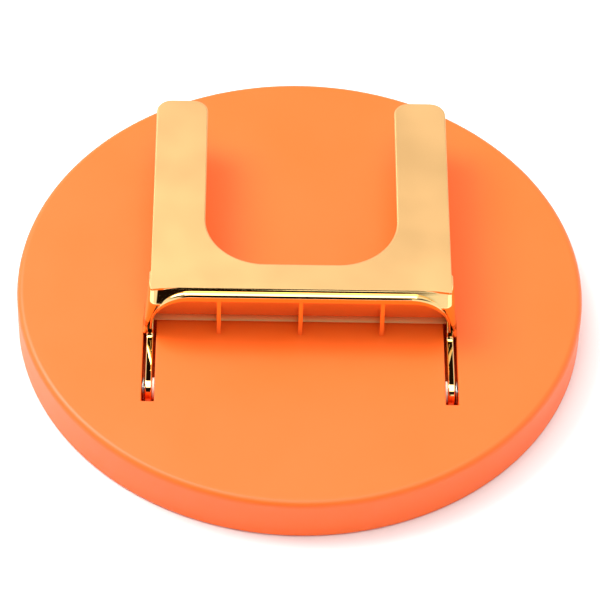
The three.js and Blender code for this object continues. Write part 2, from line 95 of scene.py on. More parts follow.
TRAY_SCREW_PHASE = math.radians(30)

# ---- stand moulding ----
TOP_HALF_WIDTH = 52.1 * MM
SIDE_HALF_WIDTH = 52.7 * MM
SIDE_EDGE_DROP = 1.6 * MM
CORNER_EASE_Z = 21 * MM
APRON_TOP_Y = -22.5 * MM
APRON_DROOP = 0.9 * MM
APRON_CORNER_RADIUS = 3.8 * MM
APRON_SLOPE = math.radians(20)
STRAP_FRONT_Y = -25.1 * MM
STRAP_DEPTH = 3 * MM
STRAP_PROUD = 0.15 * MM
ARCH_OUTER_TOP_Z = 38.0 * MM
ARCH_OUTER_HALF_WIDTH = 52.5 * MM
ARCH_OUTER_RADIUS = 14.6 * MM
ARCH_INNER_TOP_Z = 34.6 * MM
ARCH_INNER_HALF_WIDTH = 51.6 * MM
ARCH_INNER_RADIUS = 12.4 * MM
BEAD_RADIUS = 1.5 * MM
STRAP_FOOT_INNER_X = 51.7 * MM
STRAP_FOOT_OUTER_X = 53.2 * MM
REAR_OPENING_HALF_WIDTH = 51.5 * MM
REAR_OPENING_RADIUS = 6 * MM
LEG_REAR_Y = -14.8 * MM
PLATE_THICKNESS = 3 * MM
PLATE_SKIN = 1.2 * MM
PLATE_CORE_TOP = 0.8 * MM
PLATE_CORE_SETBACK = 4 * MM
PLATE_FRONT_CORNER = 0.6 * MM
PLATE_FRONT_EDGE_RADIUS = 0.15 * MM
PLATE_UNDER_EDGE_RADIUS = 0.3 * MM
PLATE_EDGE_RADIUS = 0.6 * MM
PRONG_TIP_RADIUS = 5.5 * MM
CUTOUT_HALF_WIDTH = 33.6 * MM
CUTOUT_Y = -10.9 * MM
CUTOUT_RADIUS = 21 * MM
WALL_FRONT_Y = -17.7 * MM
WALL_THICKNESS = 2 * MM
BAND_PROUD = 1.15 * MM
BAND_HEIGHT = 2.3 * MM
BAND_TOE = 0.3 * MM
FOOT_GAP = 0.3 * MM
BAY_RIB_PITCH = 28.4 * MM
BAY_RIB_THICKNESS = 1.6 * MM
BAY_RIB_SETBACK = 0.2 * MM
BAY_RIB_RISE = 0.8 * MM
GUSSET_INNER_X = 49.7 * MM
GUSSET_OUTER_X = 51.7 * MM
GUSSET_REAR_Y = 8 * MM
GUSSET_RISE = 6 * MM
STAND_INNER_EDGE = 0.25 * MM
LUG_INNER_X = 51.2 * MM
LUG_OUTER_X = 53.6 * MM
LUG_RADIUS = 4.6 * MM
LUG_EDGE_RADIUS = 0.45 * MM
LUG_SLOT_GAP = 1.3 * MM
LUG_HEEL_DEPTH = 2.4 * MM
LUG_RISE = 4 * MM
LUG_CORNER_RADIUS = 1.5 * MM
LUG_TAIL_ANGLE = math.degrees(0.25)
FOOT_Z = BACK_Z + FOOT_GAP

# ---- small hardware ----
SCREW_HEAD_RADIUS = 2.3 * MM
SCREW_HEAD_DEPTH = 1.3 * MM
SCREW_SHANK_RADIUS = 1.05 * MM
SCREW_CREST_RADIUS = 1.3 * MM
SCREW_PITCH = 1 * MM
SCREW_LENGTH = 6.6 * MM
RETAINER_SCREW_INSET = 4.2 * MM
WASHER_BORE_RADIUS = 1.7 * MM
SPRING_WAVE = 0.12 * MM

# ---- camera ----
CAMERA_TARGET = Vector((0, -8.19, 17.53)) * MM
CAMERA_DISTANCE = 1.2352
CAMERA_ELEVATION = math.radians(48.39)
CAMERA_YAW = math.radians(1.45)
CAMERA_ROLL = math.radians(1.88)
CAMERA_LENS = 210.3
CAMERA_SENSOR = 36

# ---- light ----
TENT_LIGHT = 1.0
FLOOR_RADIUS = 0.24
DARK_AREA_DIRECTION = (-0.05, 0.655, 0.754)
DARK_AREA_CORE = 0.992
DARK_AREA_RIM = 0.982


# ================= mesh making =================
def arc(centre, radius, start, end, steps):
    """Points on a circle from one angle to another, in degrees."""
    angles = [math.radians(start + (end - start) * i / steps) for i in range(steps + 1)]
    return [(centre[0] + radius * math.cos(a), centre[1] + radius * math.sin(a)) for a in angles]


def new_piece(name, points, faces):
    mesh = bpy.data.meshes.new(name)
    mesh.from_pydata([tuple(p) for p in points], [], faces)
    piece = bpy.data.objects.new(name, mesh)
    bpy.context.scene.collection.objects.link(piece)
    shape = bmesh.new()
    shape.from_mesh(mesh)
    bmesh.ops.remove_doubles(shape, verts=shape.verts, dist=1e-7)
    bmesh.ops.recalc_face_normals(shape, faces=shape.faces)
    shape.to_mesh(mesh)
    shape.free()
    return piece


def skin(name, rings, capped=True):
    """A closed body through rings of points. Its end rings get flat faces, or are joined to each other."""
    count = len(rings[0])
    points = [p for ring in rings for p in ring]
    last = len(rings) if not capped else len(rings) - 1
    faces = []
    for r in range(last):
        here, above = r * count, (r + 1) % len(rings) * count
        for i in range(count):
            j = (i + 1) % count
            faces.append((here + i, here + j, above + j, above + i))
    if capped:
        faces.append(tuple(reversed(range(count))))
        faces.append(tuple(range((len(rings) - 1) * count, len(rings) * count)))
    return new_piece(name, points, faces)


def turned(name, profile, steps, capped=True):
    """A profile of (radius, height) turned about Z."""
    angles = [2 * math.pi * i / steps for i in range(steps)]
    rings = [[(r * math.cos(a), r * math.sin(a), z) for a in angles] for r, z in profile]
    return skin(name, rings, capped)


def inset(outline, distances):
    """An anticlockwise outline moved inwards by its own distance at each point."""
    moved = []
    count = len(outline)
    for i, (x, y) in enumerate(outline):
        before, after = Vector(outline[i - 1]), Vector(outline[(i + 1) % count])
        here = Vector((x, y))
        first, second = (here - before).normalized(), (after - here).normalized()
        normal = Vector((-first.y - second.y, first.x + second.x))
        normal *= 2 / max(normal.length_squared, 0.5)
        moved.append(here + normal * distances[i])
    return moved


def slab(name, outline, low, high, axis="Z", low_edge=0.0, high_edge=0.0, steps=5):
    """An outline raised between two planes along an axis, with both rims rounded by their own radii."""
    count = len(outline)
    low_edge = low_edge if isinstance(low_edge, list) else [low_edge] * count
    high_edge = high_edge if isinstance(high_edge, list) else [high_edge] * count
    place = {
        "X": lambda u, v, w: (w, u, v),
        "Y": lambda u, v, w: (u, w, v),
        "Z": lambda u, v, w: (u, v, w),
    }[axis]
    rings = []
    for edges, plane, sign in ((low_edge, low, 1), (high_edge, high, -1)):
        turns = range(steps + 1) if max(edges) > 0 else [steps]
        rim = []
        for step in turns:
            angle = math.pi / 2 * step / steps
            ring = inset(outline, [e * (1 - math.sin(angle)) for e in edges])
            depths = [plane + sign * e * (1 - math.cos(angle)) for e in edges]
            rim.append([place(p[0], p[1], d) for p, d in zip(ring, depths)])
        rings += rim if sign > 0 else rim[::-1]
    return skin(name, rings)


def rounded_rectangle(low, high, radius, steps=4):
    (x0, y0), (x1, y1) = low, high
    r = radius
    return (
        arc((x1 - r, y0 + r), r, -90, 0, steps)
        + arc((x1 - r, y1 - r), r, 0, 90, steps)
        + arc((x0 + r, y1 - r), r, 90, 180, steps)
        + arc((x0 + r, y0 + r), r, 180, 270, steps)
    )


def bar(name, low, high, edge=PIECE_EDGE):
    """A rectangular wall with all its edges rounded."""
    outline = rounded_rectangle(low[:2], high[:2], edge)
    return slab(name, outline, low[2], high[2], low_edge=edge, high_edge=edge, steps=4)


def rod(name, x, y, radius, low, high, steps=40):
    outline = arc((x, y), radius, 0, 360 - 360 / steps, steps - 1)
    return slab(name, outline, low, high)


def settle(piece):
    """Replaces a piece's mesh by what its modifiers make of it."""
    graph = bpy.context.evaluated_depsgraph_get()
    mesh = bpy.data.meshes.new_from_object(piece.evaluated_get(graph), depsgraph=graph)
    piece.modifiers.clear()
    piece.data = mesh
    return piece


def combine(base, others, operation):
    for other in others:
        change = base.modifiers.new(operation, "BOOLEAN")
        change.operation = operation
        change.solver = "MANIFOLD"
        change.object = other
    settle(base)
    for other in others:
        bpy.data.objects.remove(other)
    return base


def smooth(piece, angle=32):
    """Smooth shading that breaks at edges sharper than an angle and keeps the flat faces flat."""
    mesh = piece.data
    shape = bmesh.new()
    shape.from_mesh(mesh)
    bmesh.ops.remove_doubles(shape, verts=shape.verts, dist=1e-7)
    bmesh.ops.recalc_face_normals(shape, faces=shape.faces)
    shape.to_mesh(mesh)
    shape.free()
    mesh.polygons.foreach_set("use_smooth", [True] * len(mesh.polygons))
    mesh.set_sharp_from_angle(angle=math.radians(angle))
    weigh = piece.modifiers.new("weighted normals", "WEIGHTED_NORMAL")
    weigh.keep_sharp = True
    return settle(piece)


# ================= materials =================
def linear(code):
    """An sRGB hex colour as linear red, green, blue and alpha."""
    channels = [int(code[i : i + 2], 16) / 255 for i in (1, 3, 5)]
    return tuple(c / 12.92 if c <= 0.04045 else ((c + 0.055) / 1.055) ** 2.4 for c in channels) + (1,)


def add(tree, kind, settings=None, sockets=None):
    """Adds a node. A socket's value is a number, a colour, or another node's output to link it to."""
    node = tree.nodes.new(kind)
    for name, value in (settings or {}).items():
        setattr(node, name, value)
    for name, value in (sockets or {}).items():
        if isinstance(value, bpy.types.NodeSocket):
            tree.links.new(value, node.inputs[name])
        else:
            node.inputs[name].default_value = value
    return node


def surface(name, colours, roughness, grain, relief, swell=0.0, swell_size=12 * MM, blotch=25 * MM, **shader):
    """A material with two close colours in soft blotches, roughness that drifts between two values,
    a fine grain of a real size raised by relief, and a slow swell of the surface."""
    material = bpy.data.materials.new(name)
    material.use_nodes = True
    tree = material.node_tree
    tree.nodes.clear()
    place = add(tree, "ShaderNodeTexCoord").outputs["Object"]
    patches = add(tree, "ShaderNodeTexNoise", {}, {"Vector": place, "Scale": 1 / blotch, "Detail": 2})
    colour = add(
        tree,
        "ShaderNodeMix",
        {"data_type": "RGBA"},
        {0: patches.outputs["Fac"], 6: linear(colours[0]), 7: linear(colours[1])},
    )
    drift = add(
        tree,
        "ShaderNodeMapRange",
        {},
        {"Value": patches.outputs["Fac"], "From Min": 0.3, "From Max": 0.7,
         "To Min": roughness[0], "To Max": roughness[1]},
    )
    grains = add(tree, "ShaderNodeTexNoise", {}, {"Vector": place, "Scale": 1 / grain, "Detail": 3})
    bump = add(
        tree,
        "ShaderNodeBump",
        {},
        {"Strength": 1.0, "Distance": relief, "Height": grains.outputs["Fac"]},
    )
    normal = bump.outputs["Normal"]
    if swell > 0:
        waves = add(tree, "ShaderNodeTexNoise", {}, {"Vector": place, "Scale": 1 / swell_size, "Detail": 0})
        normal = add(
            tree,
            "ShaderNodeBump",
            {},
            {"Strength": 1.0, "Distance": swell, "Height": waves.outputs["Fac"], "Normal": normal},
        ).outputs["Normal"]
    body = add(
        tree,
        "ShaderNodeBsdfPrincipled",
        {},
        {"Base Color": colour.outputs[2], "Roughness": drift.outputs[0], "Normal": normal, **shader},
    )
    add(tree, "ShaderNodeOutputMaterial", {}, {"Surface": body.outputs["BSDF"]})
    return material


# Opaque orange ABS from a spark-eroded mould: an even satin skin, and faint sink marks in the reflections.
satin_orange_abs = surface(
    "satin_orange_abs", ("#FF6511", "#FF6815"), (0.42, 0.48), grain=0.35 * MM, relief=0.004 * MM,
    swell=0.02 * MM, swell_size=30 * MM, IOR=1.5,
)
# The same ABS left as it comes from a polished inner mould, a little shinier and less even.
plain_orange_abs = surface(
    "plain_orange_abs", ("#FF641C", "#F85F1B"), (0.32, 0.42), grain=0.6 * MM, relief=0.003 * MM, IOR=1.5,
)
# Gold plating over a bead-blasted face: metal colour with a broad soft sheen and no sharp reflections.
satin_gold_plate = surface(
    "satin_gold_plate", ("#DDB074", "#E0B47A"), (0.40, 0.48), grain=0.3 * MM, relief=0.004 * MM,
    Metallic=1.0,
)
# Bright gold plating over polished plastic: mirror-like, with the faint orange peel that plating has.
polished_gold_plate = surface(
    "polished_gold_plate", ("#FFDA96", "#FFD890"), (0.02, 0.045), grain=0.8 * MM, relief=0.0004 * MM,
    swell=0.01 * MM, swell_size=9 * MM, Metallic=1.0,
)
# Float glass silvered behind, seen as a bright neutral mirror with the least trace of polish haze.
silvered_glass = surface(
    "silvered_glass", ("#EDF1F0", "#E9EFED"), (0.012, 0.02), grain=2 * MM, relief=0.0001 * MM, Metallic=1.0,
)
# The ground and seamed edge of the glass, where its iron shows green.
ground_glass_edge = surface(
    "ground_glass_edge", ("#9FC2B4", "#8DB5A6"), (0.22, 0.35), grain=0.2 * MM, relief=0.01 * MM, IOR=1.52,
)
# Zinc-plated steel: cool grey metal with cloudy passivation and rolled grain.
zinc_plated_steel = surface(
    "zinc_plated_steel", ("#B9BCC0", "#A6A8A4"), (0.26, 0.40), grain=0.15 * MM, relief=0.006 * MM,
    blotch=1.5 * MM, Metallic=1.0,
)
# Natural nylon: milky, softly glossy, slightly uneven from moulding.
natural_nylon = surface(
    "natural_nylon", ("#F0EBDD", "#E6DFCB"), (0.38, 0.5), grain=0.2 * MM, relief=0.008 * MM,
    blotch=1.2 * MM, IOR=1.53,
)
# Double-sided foam tape: matt, with open cells about 0.4 mm across on its cut edges.
foam_tape = surface(
    "foam_tape", ("#F1EFE8", "#DEDBD0"), (0.85, 0.95), grain=0.4 * MM, relief=0.12 * MM,
    blotch=0.8 * MM, IOR=1.45,
)


def coat(piece, material, body, slot, *nodes):
    """Gives a finished piece its material and body, and hides the CAD nodes that it stands for. The slot
    argument is not used.
    """
    piece.data.materials.clear()
    piece.data.materials.append(material)
    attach(piece, body)
    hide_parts(*nodes)
    return piece


# ================= geometry nodes =================
def node_tree(name, inputs):
    """A geometry node tree with named inputs, its group input node and its group output node."""
    tree = bpy.data.node_groups.new(name, "GeometryNodeTree")
    tree.interface.new_socket("Geometry", in_out="OUTPUT", socket_type="NodeSocketGeometry")
    for label, kind in inputs.items():
        tree.interface.new_socket(label, in_out="INPUT", socket_type=kind)
    return tree, add(tree, "NodeGroupInput").outputs


def finish_tree(tree, geometry, material):
    real = add(tree, "GeometryNodeRealizeInstances", {}, {"Geometry": geometry})
    dressed = add(
        tree, "GeometryNodeSetMaterial", {}, {"Geometry": real.outputs["Geometry"], "Material": material}
    )
    add(tree, "NodeGroupOutput", {}, {"Geometry": dressed.outputs["Geometry"]})


def grow(name, tree, values):
    """A plain mesh made by a node tree with these values of its named inputs."""
    piece = new_piece(name, [], [])
    modifier = piece.modifiers.new(tree.name, "NODES")
    modifier.node_group = tree
    for item in tree.interface.items_tree:
        if item.in_out == "INPUT":
            modifier[item.identifier] = values[item.name]
    return settle(piece)


def copies_on_a_circle():
    """Copies of a pattern piece evenly round a circle about Z, each turned with its place."""
    tree, given = node_tree(
        "copies_on_a_circle",
        {
            "Pattern": "NodeSocketObject", "Count": "NodeSocketInt", "Radius": "NodeSocketFloat",
            "Phase": "NodeSocketFloat", "Height": "NodeSocketFloat", "Finish": "NodeSocketMaterial",
        },
    )
    circle = add(
        tree, "GeometryNodeMeshCircle", {}, {"Vertices": given["Count"], "Radius": given["Radius"]}
    )
    index = add(tree, "GeometryNodeInputIndex")
    share = add(
        tree, "ShaderNodeMath", {"operation": "DIVIDE"}, {0: index.outputs["Index"], 1: given["Count"]}
    )
    turn = add(
        tree, "ShaderNodeMath", {"operation": "MULTIPLY"}, {0: share.outputs[0], 1: 2 * math.pi}
    )
    facing = add(tree, "ShaderNodeCombineXYZ", {}, {"Z": turn.outputs[0]})
    pattern = add(tree, "GeometryNodeObjectInfo", {}, {"Object": given["Pattern"]})
    copies = add(
        tree,
        "GeometryNodeInstanceOnPoints",
        {},
        {"Points": circle.outputs["Mesh"], "Instance": pattern.outputs["Geometry"],
         "Rotation": facing.outputs[0]},
    )
    spin = add(tree, "ShaderNodeCombineXYZ", {}, {"Z": given["Phase"]})
    lift = add(tree, "ShaderNodeCombineXYZ", {}, {"Z": given["Height"]})
    placed = add(
        tree,
        "GeometryNodeTransform",
        {},
        {"Geometry": copies.outputs["Instances"], "Rotation": spin.outputs[0],
         "Translation": lift.outputs[0]},
    )
    finish_tree(tree, placed.outputs["Geometry"], given["Finish"])
    return tree


def copies_on_a_grid():
    """Copies of a pattern piece on a grid in the XY plane, from its centre, with a step along each side."""
    tree, given = node_tree(
        "copies_on_a_grid",
        {
            "Pattern": "NodeSocketObject", "Columns": "NodeSocketInt", "Rows": "NodeSocketInt",
            "Width": "NodeSocketFloat", "Depth": "NodeSocketFloat", "Centre": "NodeSocketVector",
            "Finish": "NodeSocketMaterial",
        },
    )
    grid = add(
        tree,
        "GeometryNodeMeshGrid",
        {},
        {"Vertices X": given["Columns"], "Vertices Y": given["Rows"],
         "Size X": given["Width"], "Size Y": given["Depth"]},
    )
    pattern = add(tree, "GeometryNodeObjectInfo", {}, {"Object": given["Pattern"]})
    copies = add(
        tree,
        "GeometryNodeInstanceOnPoints",
        {},
        {"Points": grid.outputs["Mesh"], "Instance": pattern.outputs["Geometry"]},
    )
    placed = add(
        tree,
        "GeometryNodeTransform",
        {},
        {"Geometry": copies.outputs["Instances"], "Translation": given["Centre"]},
    )
    finish_tree(tree, placed.outputs["Geometry"], given["Finish"])
    return tree


circle_of_copies = copies_on_a_circle()
grid_of_copies = copies_on_a_grid()


# ================= shell =================
def shell_cup():
    bore = DISC_RADIUS - RIM_WALL
    ledge = bore - LEDGE_WIDTH
    ceiling = BACK_Z - BACK_WALL
    corner = 0.5 * MM
    front = (DISC_RADIUS - FRONT_EDGE_RADIUS, FRONT_EDGE_RADIUS)
    back = (DISC_RADIUS - BACK_EDGE_RADIUS, BACK_Z - BACK_EDGE_RADIUS)
    profile = (
        [(RIB_START, ceiling), (ledge - corner, ceiling)]
        + arc((ledge - corner, ceiling - corner), corner, 90, 0, 4)
        + [(ledge, LEDGE_Z), (bore, LEDGE_Z), (bore, 0.3 * MM), (bore + 0.3 * MM, 0)]
        + arc(front, FRONT_EDGE_RADIUS, -90, 0, 8)
        + arc(back, BACK_EDGE_RADIUS, 0, 90, 12)
        + [(RIB_START, BACK_Z)]
    )
    return turned("shell_body", profile, 256)


def hinge_box(side):
    xs = sorted((side * (SLOT_INNER_X - BOX_WALL), side * (SLOT_OUTER_X + BOX_WALL)))
    return slab(
        "hinge_box",
        rounded_rectangle((xs[0], SLOT_NEAR_Y - BOX_WALL), (xs[1], SLOT_FAR_Y + BOX_WALL), 0.5 * MM),
        BOX_Z,
        BACK_Z - BACK_WALL / 2,
    )


def slot_cutter(side):
    """The slot's hole, opening out in a small round lip at the shell's back."""
    xs = sorted((side * SLOT_INNER_X, side * SLOT_OUTER_X))
    outline = rounded_rectangle((xs[0], SLOT_NEAR_Y), (xs[1], SLOT_FAR_Y), 0.35 * MM)
    count = len(outline)
    rings = [[(x, y, BOX_Z - 1 * MM) for x, y in outline]]
    for step in range(5):
        angle = math.pi / 2 * step / 4
        spread = SLOT_EDGE_RADIUS * (1 - math.cos(angle))
        height = BACK_Z - SLOT_EDGE_RADIUS * (1 - math.sin(angle))
        rings.append([(p.x, p.y, height) for p in inset(outline, [-spread] * count)])
    wide = inset(outline, [-SLOT_EDGE_RADIUS] * count)
    rings.append([(p.x, p.y, BACK_Z + 1 * MM) for p in wide])
    return skin("slot_cutter", rings)


def pin_notch(side):
    """The pin drops into this from the open side of the box."""
    radius = (pin_high.z - pin_low.z) / 2 + PIN_CLEARANCE
    mouth = BOX_Z - 1 * MM
    outline = [(pivot.y - radius, mouth), (pivot.y + radius, mouth)]
    outline += arc((pivot.y, pivot.z), radius, 0, 180, 16)
    reach = sorted((side * (SLOT_INNER_X - BOX_WALL - MM), side * (SLOT_OUTER_X + BOX_WALL + MM)))
    return slab("pin_notch", outline, *reach, axis="X")


def retainer_screw_ys():
    return (retainer_low.y + RETAINER_SCREW_INSET, retainer_high.y - RETAINER_SCREW_INSET)


def shell():
    ceiling = BACK_Z - BACK_WALL
    root = ceiling + BACK_WALL / 2
    cup = shell_cup()
    boss = rod("boss", 0, 0, BOSS_RADIUS, LEDGE_Z, root)
    bosses = grow("bosses", circle_of_copies, {
        "Pattern": boss, "Count": TRAY_SCREW_COUNT, "Radius": TRAY_SCREW_CIRCLE,
        "Phase": TRAY_SCREW_PHASE, "Height": 0.0, "Finish": satin_orange_abs,
    })
    rib = bar("rib", (RIB_START - TRAY_SCREW_CIRCLE, -RIB_WALL / 2, ceiling - RIB_DEPTH),
              (RIB_END - TRAY_SCREW_CIRCLE, RIB_WALL / 2, root))
    ribs = grow("ribs", circle_of_copies, {
        "Pattern": rib, "Count": RIB_COUNT, "Radius": TRAY_SCREW_CIRCLE,
        "Phase": 0.0, "Height": 0.0, "Finish": satin_orange_abs,
    })
    slot_x = (SLOT_INNER_X + SLOT_OUTER_X) / 2
    near, far = retainer_screw_ys()
    post = rod("post", 0, 0, BOSS_RADIUS, BOX_Z, root)
    on_the_posts = {
        "Columns": 2, "Rows": 2, "Width": 2 * slot_x, "Depth": far - near,
        "Centre": (0, (near + far) / 2, 0), "Finish": satin_orange_abs,
    }
    posts = grow("posts", grid_of_copies, {"Pattern": post, **on_the_posts})
    combine(cup, [hinge_box(-1), hinge_box(1), posts, bosses, ribs], "UNION")
    tray_pilot = rod("tray_pilot", 0, 0, PILOT_RADIUS, LEDGE_Z - MM, ceiling - 0.5 * MM, 24)
    tray_pilots = grow("tray_pilots", circle_of_copies, {
        "Pattern": tray_pilot, "Count": TRAY_SCREW_COUNT, "Radius": TRAY_SCREW_CIRCLE,
        "Phase": TRAY_SCREW_PHASE, "Height": 0.0, "Finish": satin_orange_abs,
    })
    pilot = rod("pilot", 0, 0, PILOT_RADIUS, BOX_Z - MM, ceiling - 0.5 * MM, 24)
    pilots = grow("pilots", grid_of_copies, {"Pattern": pilot, **on_the_posts})
    cuts = [slot_cutter(-1), slot_cutter(1), pin_notch(-1), pin_notch(1), tray_pilots, pilots]
    combine(cup, cuts, "DIFFERENCE")
    for pattern in (boss, rib, post, tray_pilot, pilot):
        bpy.data.objects.remove(pattern)
    return smooth(cup)


coat(shell(), satin_orange_abs, "mirror", "shell", "rear_shell")


# ================= stand =================
def front_edge(half_width, steps=10):
    """The plate's front edge from left to right: straight, and drawn forwards towards both ends."""
    line = []
    for i in range(-steps, steps + 1):
        x = half_width * math.sin(math.pi / 2 * i / steps)
        reach = max(0, (abs(x) - half_width * 0.8) / (half_width * 0.2))
        line.append((x, APRON_TOP_Y - APRON_DROOP * reach * reach))
    return line


def plate_layer(name, front_line, shrink, low, high, top_edge):
    """One layer of the U-shaped plate, from a front edge to the tips of the prongs."""
    w, c = TOP_HALF_WIDTH - shrink, CUTOUT_HALF_WIDTH + shrink
    tip, end = PRONG_TIP_RADIUS - shrink, PRONG_END_Y - shrink
    root_radius = CUTOUT_RADIUS + shrink
    root = CUTOUT_Y + CUTOUT_RADIUS
    outline = (
        front_line
        + arc((w - tip, end - tip), tip, 0, 90, 14)
        + arc((c + tip, end - tip), tip, 90, 180, 14)
        + arc((c - root_radius, root), root_radius, 0, -90, 28)
        + arc((root_radius - c, root), root_radius, -90, -180, 28)
        + arc((-c - tip, end - tip), tip, 0, 90, 14)
        + arc((tip - w, end - tip), tip, 90, 180, 14)
    )
    near = APRON_TOP_Y + 3 * MM
    edges = [PLATE_FRONT_EDGE_RADIUS if y < near else top_edge for x, y in outline]
    return slab(name, outline, low, high, low_edge=PLATE_UNDER_EDGE_RADIUS, high_edge=edges, steps=5)


def top_plate():
    """A thin top layer that reaches the apron, on a deeper layer that stops inside the front block."""
    corner = PLATE_FRONT_CORNER
    w = TOP_HALF_WIDTH
    front = APRON_TOP_Y - APRON_DROOP + corner
    front_line = arc((corner - w, front), corner, 180, 270, 6) + front_edge(w - corner)[1:-1]
    front_line += arc((w - corner, front), corner, -90, 0, 6)
    top = STAND_TOP_Z
    skin_layer = plate_layer("stand_body", front_line, 0, top - PLATE_SKIN, top, PLATE_EDGE_RADIUS)
    shrink = 0.03 * MM
    core_front = APRON_TOP_Y + PLATE_CORE_SETBACK
    back_line = [(shrink - w, core_front), (w - shrink, core_front)]
    core = plate_layer("core", back_line, shrink, top - PLATE_THICKNESS, top - PLATE_CORE_TOP, 0.05 * MM)
    return combine(skin_layer, [core], "UNION")


def half_width_at(z):
    """Half the stand's width at a height: it rounds over from the top edge, then flares towards the foot."""
    fall = (STAND_TOP_Z - z) / (STAND_TOP_Z - FOOT_Z)
    flared = SIDE_HALF_WIDTH + (FOOT_HALF_WIDTH - SIDE_HALF_WIDTH) * fall
    drop = min(1, (STAND_TOP_Z - z) / SIDE_EDGE_DROP)
    return flared - (SIDE_HALF_WIDTH - TOP_HALF_WIDTH) * (1 - math.sqrt(1 - (1 - drop) ** 2))


def front_block():
    """Apron and legs in one: it slopes out from the top edge, then drops straight to the feet."""
    straight_y = STRAP_FRONT_Y + STRAP_PROUD
    top = STAND_TOP_Z - 0.1 * MM
    bend_z = top - (APRON_TOP_Y - straight_y) / math.tan(APRON_SLOPE)
    ease = 0.3 * MM
    heights = [FOOT_Z, FOOT_Z + 6 * MM, CORNER_EASE_Z, bend_z - 2 * ease, bend_z - ease, bend_z + ease]
    heights += [bend_z + 2 * ease, top - 2 * MM]
    heights += [top - SIDE_EDGE_DROP * share for share in (1, 0.7, 0.4, 0.2, 0.08, 0)]
    rings = []
    for z in heights:
        front = max(APRON_TOP_Y - (top - z) * math.tan(APRON_SLOPE), straight_y)
        w = half_width_at(z)
        grown = min(1, max(0, (z - CORNER_EASE_Z) / (bend_z - CORNER_EASE_Z)))
        corner = 1 * MM + (APRON_CORNER_RADIUS - 1 * MM) * grown
        back = 0.5 * MM
        outline = (
            arc((w - corner, front + corner), corner, -90, 0, 10)
            + arc((w - back, LEG_REAR_Y - back), back, 0, 90, 4)
            + arc((back - w, LEG_REAR_Y - back), back, 90, 180, 4)
            + arc((corner - w, front + corner), corner, 180, 270, 10)
        )
        rings.append([(x, y, z) for x, y in outline])
    return skin("front_block", rings)


def arch(half_width, top, radius, low, steps=24):
    """The upper line of an arch in X and Z, from its right foot over to its left foot."""
    centre = half_width - radius
    return (
        [(half_width, low)]
        + arc((centre, top - radius), radius, 0, 90, steps)
        + arc((-centre, top - radius), radius, 90, 180, steps)
        + [(-half_width, low)]
    )


def strap():
    """The raised rim swept along the arch: full and round along the outer edge, and thin down the legs."""
    inner = arch(ARCH_INNER_HALF_WIDTH, ARCH_INNER_TOP_Z, ARCH_INNER_RADIUS, FOOT_Z)
    outer = arch(ARCH_OUTER_HALF_WIDTH, ARCH_OUTER_TOP_Z, ARCH_OUTER_RADIUS, FOOT_Z)
    inner[0], inner[-1] = (STRAP_FOOT_INNER_X, FOOT_Z), (-STRAP_FOOT_INNER_X, FOOT_Z)
    outer[0], outer[-1] = (STRAP_FOOT_OUTER_X, FOOT_Z), (-STRAP_FOOT_OUTER_X, FOOT_Z)
    front, back = STRAP_FRONT_Y, STRAP_FRONT_Y + STRAP_DEPTH
    rings = []
    for low, high in zip(inner, outer):
        low, high = Vector(low), Vector(high)
        width = (high - low).length
        across = (high - low) / width
        bead = min(BEAD_RADIUS, 0.7 * width)
        edge = min(0.5 * MM, 0.25 * width)
        section = arc((edge, front + edge), edge, 180, 270, 4)
        section += arc((width - bead, front + bead), bead, 270, 360, 14)
        section += [(width, back), (0, back)]
        spots = [low + across * u for u, y in section]
        rings.append([(spot.x, y, spot.y) for spot, (u, y) in zip(spots, section)])
    return skin("strap", rings)


def opening(name, half_width, top, radius, near, far):
    line = arch(half_width, top, radius, FOOT_Z - 2 * MM, steps=16)
    return slab(name, line, near, far, axis="Y")


def gusset(side):
    under = STAND_TOP_Z - PLATE_THICKNESS + 0.5 * MM
    outline = [(LEG_REAR_Y - MM, FOOT_Z + GUSSET_RISE), (GUSSET_REAR_Y, under), (LEG_REAR_Y - MM, under)]
    reach = sorted((side * GUSSET_INNER_X, side * GUSSET_OUTER_X))
    edge = STAND_INNER_EDGE
    return slab("gusset", outline, *reach, axis="X", low_edge=edge, high_edge=edge, steps=3)


def lug(side):
    """Hinge lug: a round end on the pivot, a straight top edge level with the back, rising into the leg."""
    top = pivot.z + LUG_RADIUS
    rear = SLOT_FAR_Y - LUG_SLOT_GAP
    corner = LUG_CORNER_RADIUS
    root = FOOT_Z + LUG_RISE
    outline = (
        arc((pivot.y, pivot.z), LUG_RADIUS, 90, 270 + LUG_TAIL_ANGLE, 28)
        + [(rear, BACK_Z - LUG_HEEL_DEPTH), (rear, root), (STRAP_FRONT_Y + STRAP_DEPTH / 2, root)]
        + [(STRAP_FRONT_Y, root - corner)]
        + arc((STRAP_FRONT_Y - corner, top + corner), corner, 0, -90, 8)
    )
    reach = sorted((side * LUG_INNER_X, side * LUG_OUTER_X))
    bore = arc((pivot.y, pivot.z), (pin_high.z - pin_low.z) / 2 + PIN_CLEARANCE, 0, 350, 35)
    edge = LUG_EDGE_RADIUS
    body = slab("lug", outline, *reach, axis="X", low_edge=edge, high_edge=edge, steps=6)
    hole = slab("bore", bore, reach[0] - MM, reach[1] + MM, axis="X")
    return combine(body, [hole], "DIFFERENCE")


